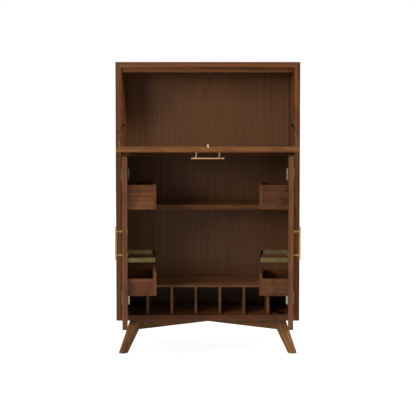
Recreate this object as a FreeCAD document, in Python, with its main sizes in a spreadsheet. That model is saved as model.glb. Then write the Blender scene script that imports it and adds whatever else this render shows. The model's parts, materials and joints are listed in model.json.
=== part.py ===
"""Bar cabinet: mitred walnut carcass on splayed legs, drop-front lid, two doors with bins.

Millimetres, +Z up, +X to the right and +Y to the back, seen from the front. The origin lies on
the floor at the centre of the carcass. The lid is drawn open and level, the doors open.
"""
import FreeCAD, Part
import os
import re

import Sketcher

DOC = FreeCAD.newDocument("BarCabinet")

# Driving sizes: alias, value, what it measures
SIZES = (
    ("cab_width", "914", "width over the side panels"),
    ("cab_depth", "457", "depth of the carcass"),
    ("cab_height", "1460", "floor to the top face"),
    ("base_height", "172", "floor to the underside of the carcass"),
    ("panel_thick", "28", "side, top and bottom panels"),
    ("back_thick", "6", "back panel"),
    ("back_recess", "14", "back panel behind the rear edges"),
    ("back_groove", "8", "depth of the groove for the back panel"),
    ("back_play", "0.5", "gap at the bottom of that groove"),
    ("deck_height", "1043", "floor to the top face of the deck"),
    ("deck_thick", "18", "deck board"),
    ("deck_lead", "0.7", "deck rail behind the lid's hinge axis"),
    ("door_rail_gap", "2", "closed door to the deck rail"),
    ("deck_rail_height", "49", "deck rail, top to bottom"),
    ("deck_rail_thick", "20", "deck rail, front to back"),
    ("stop_rail_height", "22", "lid stop rail, top to bottom"),
    ("stop_rail_thick", "20", "lid stop rail, front to back"),
    ("stop_gap", "0.3", "closed lid or door to what it stops on"),
    ("shelf_gap", "2.5", "shelves behind the hinge wings of the closed doors"),
    ("mid_shelf_drop", "243", "top face of the middle shelf under the deck rail"),
    ("mid_shelf_thick", "24", "middle shelf"),
    ("shelf_play", "0.5", "middle shelf to the sides and the back"),
    ("shelf_pin_radius", "3", "shelf pin"),
    ("shelf_pin_reach", "12", "length of a shelf pin under the shelf"),
    ("shelf_pin_bore", "10", "depth of a shelf pin's bore"),
    ("shelf_pin_inset", "50", "shelf pin from the shelf's front or back"),
    ("cubby_height", "349", "floor to the top face of the shelf over the bays"),
    ("cubby_thick", "12", "shelf over the bays"),
    ("divider_thick", "12", "divider between two bays"),
    ("end_bay_width", "120.5", "first and last bay"),
    ("leg_top_inset", "100", "leg centre at its top from the carcass side"),
    ("leg_top_setback", "77", "leg centre at its top from the front or rear plane"),
    ("leg_foot_inset", "29.5", "leg centre at the floor from the carcass side"),
    ("leg_foot_setback", "40", "leg centre at the floor from the front or rear plane"),
    ("leg_top_radius", "33", "leg at its top"),
    ("leg_foot_radius", "21", "leg at the floor"),
    ("leg_overrun", "60", "turned blank past each end before it is cut level"),
    ("glide_radius", "12", "foot glide"),
    ("glide_height", "3", "foot glide"),
    ("apron_thick", "25", "apron, front to back"),
    ("apron_drop", "57", "apron's depth at the legs"),
    ("apron_middle", "13", "apron's depth at its middle"),
    ("apron_tuck", "8", "apron's blank past the leg's centre before it is coped"),
    ("cope_gap", "0.1", "coped end of the apron to the leg"),
    ("bolt_lead", "11", "leg bolt outside the leg's centre at its top, both ways"),
    ("bolt_radius", "4", "leg bolt's shank"),
    ("bolt_length", "60", "leg bolt under its head"),
    ("bolt_head_radius", "8", "leg bolt's head"),
    ("bolt_head_height", "5", "leg bolt's head"),
    ("bolt_seat_play", "3", "radial room round the bolt's head"),
    ("bolt_seat_room", "1", "bolt's head to the cover over it"),
    ("cap_radius", "22.5", "round cover over a leg bolt"),
    ("cap_height", "3", "round cover over a leg bolt"),
    ("fit", "0.05", "radial clearance of a pin or a screw in its own bore"),
    ("knuckle_gap", "0.3", "hinge knuckle to what lies beside it"),
    ("lid_thick", "22", "lid panel"),
    ("lid_side_gap", "2", "lid to a side panel"),
    ("lid_top_gap", "3", "closed lid to the top panel"),
    ("lid_edge_lead", "0.5", "lid's hinged edge from the hinge axis"),
    ("lid_hinge_inset", "90", "middle of a lid hinge from the side panel"),
    ("lid_hinge_width", "48", "lid hinge along its axis"),
    ("lid_leaf_reach", "20", "lid hinge leaf from the axis"),
    ("lid_leaf_thick", "1.5", "lid hinge leaf"),
    ("lid_knuckle_radius", "3", "lid hinge knuckle"),
    ("lid_pin_radius", "1.5", "lid hinge pin"),
    ("strike_clear", "1", "base of the closed lid's strike under the stop rail"),
    ("strike_base_radius", "9", "base of the lid strike"),
    ("strike_base_height", "2", "base of the lid strike"),
    ("strike_stud_radius", "4", "stud of the lid strike"),
    ("strike_stud_height", "12", "stud of the lid strike"),
    ("lid_catch_width", "20", "lid catch"),
    ("lid_catch_height", "18", "lid catch"),
    ("lid_catch_wall", "6", "lid catch behind the stud's socket"),
    ("socket_room", "2", "end of the stud to the bottom of its socket"),
    ("stud_play", "1.2", "radial room round the stud in its socket"),
    ("stay_wall_setback", "60", "stay's wall pivot behind the front plane"),
    ("stay_wall_rise", "105", "stay's wall pivot over the deck"),
    ("stay_past_middle", "48.4", "stay's lid pivot past the middle of the lid's length"),
    ("stay_lid_rise", "15.3", "stay's lid pivot over the lid's inner face"),
    ("stay_plate_thick", "2", "stay's plates"),
    ("stay_link_thick", "2.5", "stay's links"),
    ("stay_link_width", "14", "stay's links"),
    ("stay_gap", "0.3", "between neighbouring plates and links of a stay"),
    ("stay_pin_radius", "3", "stay's pivots"),
    ("stay_head_radius", "5.5", "head of a stay's pivot"),
    ("stay_head_height", "1.2", "head of a stay's pivot"),
    ("stay_wall_plate_width", "24", "stay's plate on the wall, front to back"),
    ("stay_wall_plate_height", "52", "stay's plate on the wall, top to bottom"),
    ("stay_foot_length", "40", "foot of the stay's bracket on the lid"),
    ("stay_foot_width", "16", "foot of the stay's bracket on the lid"),
    ("door_open", "86", "open doors, degrees from closed"),
    ("door_thick", "24", "door panel"),
    ("leaf_gap", "0.6", "between the two hinge leaves beside a closed door"),
    ("door_meet_gap", "3", "door to door"),
    ("door_low_gap", "3", "door over the cabinet floor"),
    ("door_rail_lap", "7", "door's lap over the deck rail"),
    ("door_knuckle_radius", "4", "door hinge knuckle"),
    ("door_pin_radius", "2", "door hinge pin"),
    ("door_pin_head_radius", "3.4", "heads of the door hinge pin"),
    ("door_pin_head_height", "1.5", "heads of the door hinge pin"),
    ("door_leaf_thick", "1.2", "door hinge leaves in the side gap"),
    ("door_hinge_height", "65", "door hinge"),
    ("door_hinge_high", "96", "middle of the upper hinge under the door's top"),
    ("door_hinge_low", "85", "middle of the lower hinge over the door's bottom"),
    ("frame_leaf_reach", "32", "leaf on the side panel behind the front plane"),
    ("wing_width", "25", "door leaf's wing on the door's inner face"),
    ("wing_thick", "1.5", "door leaf's wing"),
    ("bar_length", "155", "bar of a handle"),
    ("bar_radius", "5", "bar of a handle"),
    ("post_radius", "4.75", "posts of a handle"),
    ("post_spacing", "108", "post to post"),
    ("handle_reach", "33", "handle's height over its face"),
    ("handle_edge", "35", "door handle from the door's free edge"),
    ("lid_handle_edge", "40", "lid handle from the lid's free edge"),
    ("screw_radius", "2", "handle screw's shank"),
    ("screw_depth", "12", "handle screw's reach into its post"),
    ("screw_hole_play", "0.2", "radial room of a handle screw in its panel"),
    ("screw_head_radius", "4.5", "handle screw's head"),
    ("screw_head_height", "2.2", "handle screw's head"),
    ("bin_wing_gap", "23.5", "bins from the hinge wings"),
    ("bin_screw_gap", "1", "bins from the handle screws"),
    ("bin_depth", "134", "bins from the door's inner face"),
    ("bin_board", "14", "bin boards"),
    ("bin_floor", "8", "bottom board of a bin"),
    ("bin_clear", "6", "bin over the shelf under it"),
    ("upper_bin_height", "113", "boards of the upper bin"),
    ("lower_bin_height", "104", "long board of the lower bin"),
    ("lower_bin_end_height", "79", "end boards of the lower bin"),
    ("rail_rise", "163", "bottle rail over the shelf of the bays"),
    ("rail_height", "21", "bottle rail's band"),
    ("rail_thick", "3", "bottle rail's band"),
    ("rail_corner", "14", "bottle rail's outer corner radius"),
    ("rail_flange", "22", "bottle rail's end on the door"),
    ("catch_place", "22", "door catch from the middle"),
    ("catch_width", "40", "door catch"),
    ("catch_height", "14", "door catch"),
    ("catch_depth", "30", "door catch"),
    ("door_strike_width", "30", "door strike plate"),
    ("door_strike_thick", "1.2", "door strike plate"),
)

# Places worked out from the driving sizes
PLACES = (
    ("half_width", "cab_width / 2"),
    ("inner_half", "half_width - panel_thick"),
    ("front", "-cab_depth / 2"),
    ("rear", "cab_depth / 2"),
    ("floor_top", "base_height + panel_thick"),
    ("ceiling", "cab_height - panel_thick"),
    ("back_front", "rear - back_recess - back_thick"),
    ("deck_rail_low", "deck_height - deck_rail_height"),
    ("stop_rail_front", "front + lid_thick + stop_gap"),
    ("shelf_front", "front + door_thick + wing_thick + shelf_gap"),
    ("mid_shelf_height", "deck_rail_low - mid_shelf_drop"),
    ("mid_shelf_low", "mid_shelf_height - mid_shelf_thick"),
    ("pin_level", "mid_shelf_low - shelf_pin_radius"),
    ("cubby_low", "cubby_height - cubby_thick"),
    ("divider_reach", "inner_half - end_bay_width - divider_thick / 2"),
    ("leg_top_x", "half_width - leg_top_inset"),
    ("leg_top_y", "rear - leg_top_setback"),
    ("leg_foot_x", "half_width - leg_foot_inset"),
    ("leg_foot_y", "rear - leg_foot_setback"),
    ("leg_run_x", "leg_top_x - leg_foot_x"),
    ("leg_run_y", "leg_top_y - leg_foot_y"),
    ("leg_length", "sqrt(leg_run_x ^ 2 + leg_run_y ^ 2 + base_height ^ 2)"),
    ("leg_lean", "acos(base_height / leg_length)"),
    ("leg_taper", "(leg_top_radius - leg_foot_radius) / leg_length"),
    ("apron_half", "leg_top_x + apron_tuck"),
    ("bolt_x", "leg_top_x + bolt_lead"),
    ("bolt_y", "leg_top_y + bolt_lead"),
    ("bolt_seat_depth", "bolt_head_height + bolt_seat_room"),
    ("bolt_seat", "floor_top - bolt_seat_depth"),
    ("lid_hinge_rise", "lid_knuckle_radius + knuckle_gap"),
    ("lid_axis_y", "front + lid_thick + lid_hinge_rise"),
    ("lid_axis_z", "deck_height + lid_hinge_rise"),
    ("deck_front", "max(lid_axis_y + deck_lead; front + door_thick + door_rail_gap)"),
    ("lid_half", "inner_half - lid_side_gap"),
    ("lid_low", "deck_height - lid_thick"),
    ("lid_length", "ceiling - lid_top_gap - lid_axis_z - lid_edge_lead"),
    ("lid_rear", "lid_axis_y - lid_edge_lead"),
    ("lid_free", "lid_rear - lid_length"),
    ("lid_catch_top", "ceiling - stop_rail_height"),
    ("lid_catch_front", "front + lid_thick + strike_base_height + stop_gap"),
    ("lid_catch_level", "lid_catch_top - strike_clear - strike_base_radius"),
    ("strike_edge", "ceiling - lid_top_gap - lid_catch_level"),
    ("socket_depth", "strike_stud_height + socket_room"),
    ("lid_hinge_place", "inner_half - lid_hinge_inset"),
    ("stay_wall_y", "front + stay_wall_setback"),
    ("stay_wall_z", "deck_height + stay_wall_rise"),
    ("stay_lid_y", "lid_rear - lid_length / 2 - stay_past_middle"),
    ("stay_lid_z", "deck_height + stay_lid_rise"),
    ("stay_run", "stay_wall_y - stay_lid_y"),
    ("stay_fall", "stay_wall_z - stay_lid_z"),
    ("stay_link_length", "sqrt(stay_run ^ 2 + stay_fall ^ 2) / 2"),
    ("stay_slope", "atan2(stay_fall; stay_run)"),
    ("wall_plate_in", "inner_half - stay_plate_thick"),
    ("wall_link_out", "wall_plate_in - stay_gap"),
    ("wall_link_in", "wall_link_out - stay_link_thick"),
    ("lid_link_out", "wall_link_in - stay_gap"),
    ("lid_link_in", "lid_link_out - stay_link_thick"),
    ("bracket_out", "lid_link_in - stay_gap"),
    ("bracket_in", "bracket_out - stay_plate_thick"),
    ("door_edge", "door_leaf_thick + leaf_gap / 2"),
    ("door_axis_x", "inner_half - door_edge"),
    ("door_face", "door_knuckle_radius + knuckle_gap"),
    ("door_back", "door_face + door_thick"),
    ("door_axis_y", "front - door_face"),
    ("door_free", "door_axis_x - door_meet_gap / 2"),
    ("door_low", "floor_top + door_low_gap"),
    ("door_high", "deck_rail_low + door_rail_lap"),
    ("door_middle", "(door_low + door_high) / 2"),
    ("door_handle_x", "door_free - handle_edge"),
    ("leaf_inner", "door_edge - door_leaf_thick"),
    ("bin_near", "door_edge + wing_width + bin_wing_gap"),
    ("bin_far", "door_handle_x - screw_head_radius - bin_screw_gap"),
    ("bin_front", "door_back + bin_depth - bin_board"),
    ("upper_bin_low", "mid_shelf_height + bin_clear"),
    ("lower_bin_low", "cubby_height + bin_clear"),
    ("rail_low", "cubby_height + rail_rise"),
    ("catch_low", "deck_rail_low - catch_height"),
    ("catch_front", "front + door_thick + door_strike_thick + stop_gap"),
)

DIVIDER_COUNT = 6
SIDES = {"left": -1, "right": 1}
ENDS = {"front": -1, "rear": 1}

OWNER = {row[0]: "Sizes." for row in SIZES}
OWNER.update({row[0]: "Places." for row in PLACES})
NODES = []


def qualified(text):
    """Write the sheet's name before each named size or place in an expression."""
    return re.sub(r"[a-z_]+", lambda word: OWNER.get(word.group(), "") + word.group(), text)


def bind(target, path, text):
    """Bind one property of an object to an expression over the named sizes and places."""
    target.setExpression(path, qualified(text))


def write_sheets():
    """Make the sheet of driving sizes and the sheet of places, and return the latter."""
    sizes = DOC.addObject("Spreadsheet::Sheet", "Sizes")
    for row, (alias, value, meaning) in enumerate(SIZES, start=1):
        sizes.set("A%d" % row, meaning)
        sizes.set("B%d" % row, value)
        sizes.setAlias("B%d" % row, alias)
    places = DOC.addObject("Spreadsheet::Sheet", "Places")
    for row, (alias, formula) in enumerate(PLACES, start=1):
        places.set("B%d" % row, "=" + qualified(formula))
        places.setAlias("B%d" % row, alias)
    DOC.recompute()
    return places


PLACE_SHEET = write_sheets()


def node(item, label):
    """Give a finished sub-part its label and list it for export."""
    item.Label = label
    NODES.append(item)
    return item


def group(label, members):
    """List several separate solids as one sub-part."""
    item = DOC.addObject("Part::Compound", "Group")
    item.Links = members
    return node(item, label)


def frame_at(x, y, z, axis="0; 0; 1", angle="0"):
    """Return the expression of a placement: a point, and a turn about an axis."""
    return "placement(vector(%s; %s; %s); rotation(vector(%s); %s))" % (x, y, z, axis, angle)


def new_body(frame=None):
    """Make an empty body, placed by an expression where a frame is given."""
    body = DOC.addObject("PartDesign::Body", "Body")
    if frame:
        bind(body, "Placement", frame)
    return body


def block(body, corner, size, kind="Additive"):
    """Add a box to a body, or cut it out, from its low corner and its three sizes."""
    box = body.newObject("PartDesign::%sBox" % kind, "Block")
    for path, text in zip(("Length", "Width", "Height"), size):
        bind(box, path, text)
    for axis, text in zip("xyz", corner):
        bind(box, "Placement.Base." + axis, text)
    return box


ALONG = {
    "x": FreeCAD.Rotation(FreeCAD.Vector(0, 1, 0), 90),
    "y": FreeCAD.Rotation(FreeCAD.Vector(1, 0, 0), -90),
    "z": FreeCAD.Rotation(),
}


def rod(body, axis, start, radius, length, kind="Additive"):
    """Add a cylinder to a body, or cut it out, from its start along an axis."""
    cylinder = body.newObject("PartDesign::%sCylinder" % kind, "Rod")
    cylinder.Placement = FreeCAD.Placement(FreeCAD.Vector(), ALONG[axis])
    bind(cylinder, "Radius", radius)
    bind(cylinder, "Height", length)
    for letter, text in zip("xyz", start):
        bind(cylinder, "Placement.Base." + letter, text)
    return cylinder


def upright_profile(body, points, depth):
    """Pad a closed outline, drawn as seen from the front, evenly to the front and the back."""
    sketch = body.newObject("Sketcher::SketchObject", "Outline")
    plane = next(item for item in body.Origin.OriginFeatures if item.Role == "XZ_Plane")
    sketch.AttachmentSupport = [(plane, "")]
    sketch.MapMode = "FlatFace"
    texts = [[qualified(text) for text in point] for point in points]
    corners = [FreeCAD.Vector(*[PLACE_SHEET.evalExpression(text) for text in point], 0) for point in texts]
    count = len(corners)
    for index, corner in enumerate(corners):
        sketch.addGeometry(Part.LineSegment(corner, corners[(index + 1) % count]))
    for index in range(count):
        sketch.addConstraint(Sketcher.Constraint("Coincident", index, 2, (index + 1) % count, 1))
    for index, (corner, (across, up)) in enumerate(zip(corners, texts)):
        for direction, value, text in (("DistanceX", corner.x, across), ("DistanceY", corner.y, up)):
            number = sketch.addConstraint(Sketcher.Constraint(direction, -1, 1, index, 1, value))
            sketch.setExpression("Constraints[%d]" % number, text)
    pad = body.newObject("PartDesign::Pad", "Board")
    pad.Profile = sketch
    pad.SideType = "Symmetric"
    bind(pad, "Length", depth)
    return pad


def board(corner, size, frame=None):
    """Make a plain board from its low corner and its three sizes."""
    body = new_body(frame)
    block(body, corner, size)
    return body


def outward(sign, near, far):
    """Return low end and length of a span measured from the middle to one side along X."""
    low = near if sign > 0 else "-(%s)" % far
    return low, "(%s) - (%s)" % (far, near)


def leg_places():
    """Return the four legs' names with their signs along X and Y."""
    return [(end, hand, SIDES[hand], ENDS[end]) for end in ENDS for hand in SIDES]


# Carcass


def side_panel(hand):
    """Side panel, mitred at top and bottom, grooved for the back and bored for the shelf pins."""
    sign = SIDES[hand]
    body = new_body()
    outer = "%d * half_width" % sign
    inner = "%d * inner_half" % sign
    outline = ((outer, "base_height"), (inner, "floor_top"), (inner, "ceiling"), (outer, "cab_height"))
    upright_profile(body, outline, "cab_depth")
    low, length = outward(sign, "inner_half", "inner_half + back_groove")
    size = (length, "back_thick", "ceiling - floor_top + 2 * back_groove")
    block(body, (low, "back_front", "floor_top - back_groove"), size, "Subtractive")
    low, length = outward(sign, "inner_half", "inner_half + shelf_pin_bore")
    for depth in ("shelf_front + shelf_pin_inset", "back_front - shelf_pin_inset"):
        rod(body, "x", (low, depth, "pin_level"), "shelf_pin_radius + fit", length, "Subtractive")
    return node(body, hand + "_side_panel")


def top_panel():
    """Top panel, mitred to the side panels and grooved for the back."""
    body = new_body()
    outline = (("-half_width", "cab_height"), ("half_width", "cab_height"))
    outline += (("inner_half", "ceiling"), ("-inner_half", "ceiling"))
    upright_profile(body, outline, "cab_depth")
    back_groove(body, "ceiling")
    return node(body, "top_panel")


def bottom_panel():
    """Bottom panel, mitred and grooved as the top, with a counterbored hole over each leg."""
    body = new_body()
    outline = (("-half_width", "base_height"), ("half_width", "base_height"))
    outline += (("inner_half", "floor_top"), ("-inner_half", "floor_top"))
    upright_profile(body, outline, "cab_depth")
    back_groove(body, "floor_top - back_groove")
    for _end, _hand, side, end in leg_places():
        x = "%d * bolt_x" % side
        y = "%d * bolt_y" % end
        rod(body, "z", (x, y, "base_height"), "bolt_radius + fit", "panel_thick", "Subtractive")
        seat_radius = "bolt_head_radius + bolt_seat_play"
        rod(body, "z", (x, y, "bolt_seat"), seat_radius, "bolt_seat_depth", "Subtractive")
    return node(body, "bottom_panel")


def back_groove(body, low):
    """Cut the groove for the back panel along a top or bottom panel."""
    corner = ("-inner_half - back_groove", "back_front", low)
    size = ("2 * (inner_half + back_groove)", "back_thick", "back_groove")
    block(body, corner, size, "Subtractive")


def back_panel():
    """Back panel, let into the four grooves."""
    reach = "(back_groove - back_play)"
    corner = ("-inner_half - " + reach, "back_front", "floor_top - " + reach)
    size = ("2 * (inner_half + %s)" % reach, "back_thick", "ceiling - floor_top + 2 * " + reach)
    return node(board(corner, size), "back_panel")


def across(label, depth_low, depth_size, low, height):
    """Board from side panel to side panel."""
    corner = ("-inner_half", depth_low, low)
    return node(board(corner, ("2 * inner_half", depth_size, height)), label)


def fixed_boards():
    """Deck with its rail, lid stop rail and the shelf over the bays."""
    deck_start = "deck_front + deck_rail_thick"
    across("deck", deck_start, "back_front - (%s)" % deck_start, "deck_height - deck_thick", "deck_thick")
    across("deck_rail", "deck_front", "deck_rail_thick", "deck_rail_low", "deck_rail_height")
    across("lid_stop_rail", "stop_rail_front", "stop_rail_thick", "lid_catch_top", "stop_rail_height")
    across("cubby_shelf", "shelf_front", "back_front - shelf_front", "cubby_low", "cubby_thick")


def mid_shelf():
    """Loose middle shelf on four pins."""
    corner = ("-inner_half + shelf_play", "shelf_front", "mid_shelf_low")
    size = ("2 * (inner_half - shelf_play)", "back_front - shelf_play - shelf_front", "mid_shelf_thick")
    node(board(corner, size), "mid_shelf")
    pins = []
    for sign in SIDES.values():
        low, length = outward(sign, "inner_half - shelf_pin_reach", "inner_half + shelf_pin_bore")
        for depth in ("shelf_front + shelf_pin_inset", "back_front - shelf_pin_inset"):
            pin = new_body()
            rod(pin, "x", (low, depth, "pin_level"), "shelf_pin_radius", length)
            pins.append(pin)
    return group("shelf_pins", pins)


def wine_dividers():
    """Upright boards that make the wine bays, spread evenly about the middle."""
    boards = []
    for index in range(DIVIDER_COUNT):
        place = "%g * divider_reach - divider_thick / 2" % (2 * index / (DIVIDER_COUNT - 1) - 1)
        size = ("divider_thick", "back_front - shelf_front", "cubby_low - floor_top")
        boards.append(board((place, "shelf_front", "floor_top"), size))
    return group("wine_dividers", boards)


# Base


def leg_blank(side, end, extra):
    """Turned, tapered blank that leans out from the leg's top to its foot, longer than the leg."""
    cone = DOC.addObject("Part::Cone", "LegBlank")
    bind(cone, "Radius1", "leg_foot_radius - leg_taper * leg_overrun + " + extra)
    bind(cone, "Radius2", "leg_top_radius + leg_taper * leg_overrun + " + extra)
    bind(cone, "Height", "leg_length + 2 * leg_overrun")
    run_x = "%d * leg_run_x" % side
    run_y = "%d * leg_run_y" % end
    share = "leg_overrun / leg_length"
    foot_x = "%d * leg_foot_x - %s * %s" % (side, run_x, share)
    foot_y = "%d * leg_foot_y - %s * %s" % (end, run_y, share)
    turn_axis = "-(%s); %s; 0" % (run_y, run_x)
    bind(cone, "Placement", frame_at(foot_x, foot_y, "-base_height * " + share, turn_axis, "leg_lean"))
    return cone


def leg(end_name, hand, side, end):
    """Leg, cut level at the carcass and at its glide, bored for its bolt."""
    top_x = "%d * leg_top_x" % side
    top_y = "%d * leg_top_y" % end
    slab = board(
        (top_x + " - half_width", top_y + " + front", "glide_height"),
        ("cab_width", "cab_depth", "base_height - glide_height"),
    )
    level = DOC.addObject("Part::Common", "LegLevel")
    level.Base = leg_blank(side, end, "0")
    level.Tool = slab
    bore = DOC.addObject("Part::Cylinder", "LegBore")
    bind(bore, "Radius", "bolt_radius + fit")
    bind(bore, "Height", "bolt_length")
    bolt = ("%d * bolt_x" % side, "%d * bolt_y" % end)
    bind(bore, "Placement", frame_at(*bolt, "bolt_seat - bolt_length"))
    cut = DOC.addObject("Part::Cut", "Leg")
    cut.Base = level
    cut.Tool = bore
    return node(cut, "%s_%s_leg" % (end_name, hand))


def leg_hardware():
    """Glides under the feet, and bolts with round covers over the legs."""
    glides, bolts, caps = [], [], []
    for _end, _hand, side, end in leg_places():
        foot = ("%d * leg_foot_x" % side, "%d * leg_foot_y" % end)
        top = ("%d * bolt_x" % side, "%d * bolt_y" % end)
        glide = new_body()
        rod(glide, "z", foot + ("0",), "glide_radius", "glide_height")
        glides.append(glide)
        bolt = new_body()
        rod(bolt, "z", top + ("bolt_seat - bolt_length",), "bolt_radius", "bolt_length")
        rod(bolt, "z", top + ("bolt_seat",), "bolt_head_radius", "bolt_head_height")
        bolts.append(bolt)
        cap = new_body()
        rod(cap, "z", top + ("floor_top",), "cap_radius", "cap_height")
        caps.append(cap)
    group("foot_glides", glides)
    group("leg_bolts", bolts)
    group("leg_bolt_caps", caps)


def apron(end_name):
    """Apron with an inverted V lower edge, coped to the two legs that it joins."""
    end = ENDS[end_name]
    blank = new_body(frame_at("0", "%d * leg_top_y" % end, "0"))
    outline = (("-apron_half", "base_height"), ("apron_half", "base_height"))
    outline += (("apron_half", "base_height - apron_drop"), ("0", "base_height - apron_middle"))
    outline += (("-apron_half", "base_height - apron_drop"),)
    upright_profile(blank, outline, "apron_thick")
    cutter = DOC.addObject("Part::Compound", "LegCutter")
    cutter.Links = [leg_blank(side, end, "cope_gap") for side in SIDES.values()]
    coped = DOC.addObject("Part::Cut", "Apron")
    coped.Base = blank
    coped.Tool = cutter
    return node(coped, end_name + "_apron")


# Hinges


def knuckle_spans(low, height):
    """Return start and length of a hinge's outer two knuckles and of its middle one."""
    length = "((%s - 2 * knuckle_gap) / 3)" % height
    step = "(%s + knuckle_gap)" % length
    starts = ["%s + %d * %s" % (low, index, step) for index in range(3)]
    return [(starts[0], length), (starts[2], length)], [(starts[1], length)]


def door_hinge_levels():
    """Return the low ends of a door's two hinges."""
    middles = ("door_high - door_hinge_high", "door_low + door_hinge_low")
    return ["(%s - door_hinge_height / 2)" % middle for middle in middles]


def door_knuckles(body, spans, leaf_low):
    """Add a door leaf's knuckles and their tabs, and bore them for the pin."""
    for start, length in spans:
        block(body, (leaf_low, "0", start), ("door_leaf_thick", "door_face", length))
        rod(body, "z", ("0", "0", start), "door_knuckle_radius", length)
    for start, length in spans:
        rod(body, "z", ("0", "0", start), "door_pin_radius + fit", length, "Subtractive")


def door_frame_hinges():
    """Leaves on the side panels and the pins that they hold."""
    leaves, pins = [], []
    for sign in SIDES.values():
        frame = frame_at("%d * door_axis_x" % sign, "door_axis_y", "0")
        leaf_low = outward(sign, "leaf_inner", "door_edge")[0]
        for low in door_hinge_levels():
            outer, _middle = knuckle_spans(low, "door_hinge_height")
            leaf = new_body(frame)
            plate = ("door_leaf_thick", "frame_leaf_reach", "door_hinge_height")
            block(leaf, (leaf_low, "door_face", low), plate)
            door_knuckles(leaf, outer, leaf_low)
            leaves.append(leaf)
            pin = new_body(frame)
            rod(pin, "z", ("0", "0", low), "door_pin_radius", "door_hinge_height")
            for start in (low + " - door_pin_head_height", low + " + door_hinge_height"):
                rod(pin, "z", ("0", "0", start), "door_pin_head_radius", "door_pin_head_height")
            pins.append(pin)
    group("door_hinge_frame_leaves", leaves)
    group("door_hinge_pins", pins)


def lid_knuckles(body, spans, tab_low):
    """Add a lid hinge leaf's knuckles and their tabs, and bore them for the pin."""
    for start, length in spans:
        block(body, (start, tab_low, "-lid_hinge_rise"), (length, "lid_hinge_rise", "lid_leaf_thick"))
        rod(body, "x", (start, "0", "0"), "lid_knuckle_radius", length)
    for start, length in spans:
        rod(body, "x", (start, "0", "0"), "lid_pin_radius + fit", length, "Subtractive")


def lid_hinges():
    """Leaves on the deck rail with their pins, and leaves on the lid."""
    deck_leaves, lid_leaves, pins = [], [], []
    outer, middle = knuckle_spans("-lid_hinge_width / 2", "lid_hinge_width")
    plate = ("lid_hinge_width", "lid_leaf_reach - lid_hinge_rise", "lid_leaf_thick")
    for sign in SIDES.values():
        frame = frame_at("%d * lid_hinge_place" % sign, "lid_axis_y", "lid_axis_z")
        deck_leaf = new_body(frame)
        block(deck_leaf, ("-lid_hinge_width / 2", "lid_hinge_rise", "-lid_hinge_rise"), plate)
        lid_knuckles(deck_leaf, outer, "0")
        deck_leaves.append(deck_leaf)
        lid_leaf = new_body(frame)
        block(lid_leaf, ("-lid_hinge_width / 2", "-lid_leaf_reach", "-lid_hinge_rise"), plate)
        lid_knuckles(lid_leaf, middle, "-lid_hinge_rise")
        lid_leaves.append(lid_leaf)
        pin = new_body(frame)
        rod(pin, "x", ("-lid_hinge_width / 2", "0", "0"), "lid_pin_radius", "lid_hinge_width")
        pins.append(pin)
    group("lid_hinge_deck_leaves", deck_leaves)
    group("lid_hinge_pins", pins)
    group("lid_hinge_leaves", lid_leaves)


# Handles


def pull(prefix, frame, panel):
    """Bar handle and its two screws: the bar runs along the frame's X, the panel lies over its Z = 0."""
    drop = "(handle_reach - bar_radius)"
    posts = ("-post_spacing / 2", "post_spacing / 2")
    handle = new_body(frame)
    rod(handle, "x", ("-bar_length / 2", "0", "-" + drop), "bar_radius", "bar_length")
    for place in posts:
        rod(handle, "z", (place, "0", "-" + drop), "post_radius", drop)
    for place in posts:
        rod(handle, "z", (place, "0", "-screw_depth"), "screw_radius + fit", "screw_depth", "Subtractive")
    node(handle, prefix + "_handle")
    screws = []
    for place in posts:
        screw = new_body(frame)
        rod(screw, "z", (place, "0", "-screw_depth"), "screw_radius", "screw_depth + " + panel)
        rod(screw, "z", (place, "0", panel), "screw_head_radius", "screw_head_height")
        screws.append(screw)
    group(prefix + "_handle_screws", screws)


def screw_holes(body, axis, starts, length):
    """Drill a panel for the screws of its handle."""
    for start in starts:
        rod(body, axis, start, "screw_radius + screw_hole_play", length, "Subtractive")


# Lid


def lid():
    """Lid panel with its handle and its strike."""
    handle_y = "lid_free + lid_handle_edge"
    panel = new_body()
    block(panel, ("-lid_half", "lid_free", "lid_low"), ("2 * lid_half", "lid_length", "lid_thick"))
    holes = [("%d * post_spacing / 2" % sign, handle_y, "lid_low") for sign in SIDES.values()]
    screw_holes(panel, "z", holes, "lid_thick")
    node(panel, "lid_panel")
    pull("lid", frame_at("0", handle_y, "lid_low"), "lid_thick")
    strike = new_body(frame_at("0", "lid_free + strike_edge", "deck_height"))
    rod(strike, "z", ("0", "0", "0"), "strike_base_radius", "strike_base_height")
    rod(strike, "z", ("0", "0", "strike_base_height"), "strike_stud_radius", "strike_stud_height")
    node(strike, "lid_strike")


def lid_catch():
    """Catch under the stop rail, with a socket for the stud of the closed lid."""
    body = new_body()
    corner = ("-lid_catch_width / 2", "lid_catch_front", "lid_catch_top - lid_catch_height")
    block(body, corner, ("lid_catch_width", "socket_depth + lid_catch_wall", "lid_catch_height"))
    socket = ("0", "lid_catch_front", "lid_catch_level")
    rod(body, "y", socket, "strike_stud_radius + stud_play", "socket_depth", "Subtractive")
    return node(body, "lid_catch")


# Lid stays


def pivot_along(body, sign, near, far, radius, kind="Additive"):
    """Cylinder about the frame's origin along X, spanning two distances from the mid-plane."""
    low, length = outward(sign, near, far)
    rod(body, "x", (low, "0", "0"), radius, length, kind)


def stay_link(label, sign, pivot, near, far, heads):
    """Flat link from its pivot towards the front, with round ends, an eye and an elbow rivet."""
    body = new_body(frame_at("0", *pivot))
    low, thick = outward(sign, near, far)
    corner = (low, "-stay_link_length", "-stay_link_width / 2")
    block(body, corner, (thick, "stay_link_length", "stay_link_width"))
    pivot_along(body, sign, near, far, "stay_link_width / 2")
    rod(body, "x", (low, "-stay_link_length", "0"), "stay_link_width / 2", thick)
    head_low, head_length = outward(sign, *heads)
    rod(body, "x", (head_low, "-stay_link_length", "0"), "stay_head_radius", head_length)
    pivot_along(body, sign, near, far, "stay_pin_radius + fit", "Subtractive")
    return node(body, label)


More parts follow.
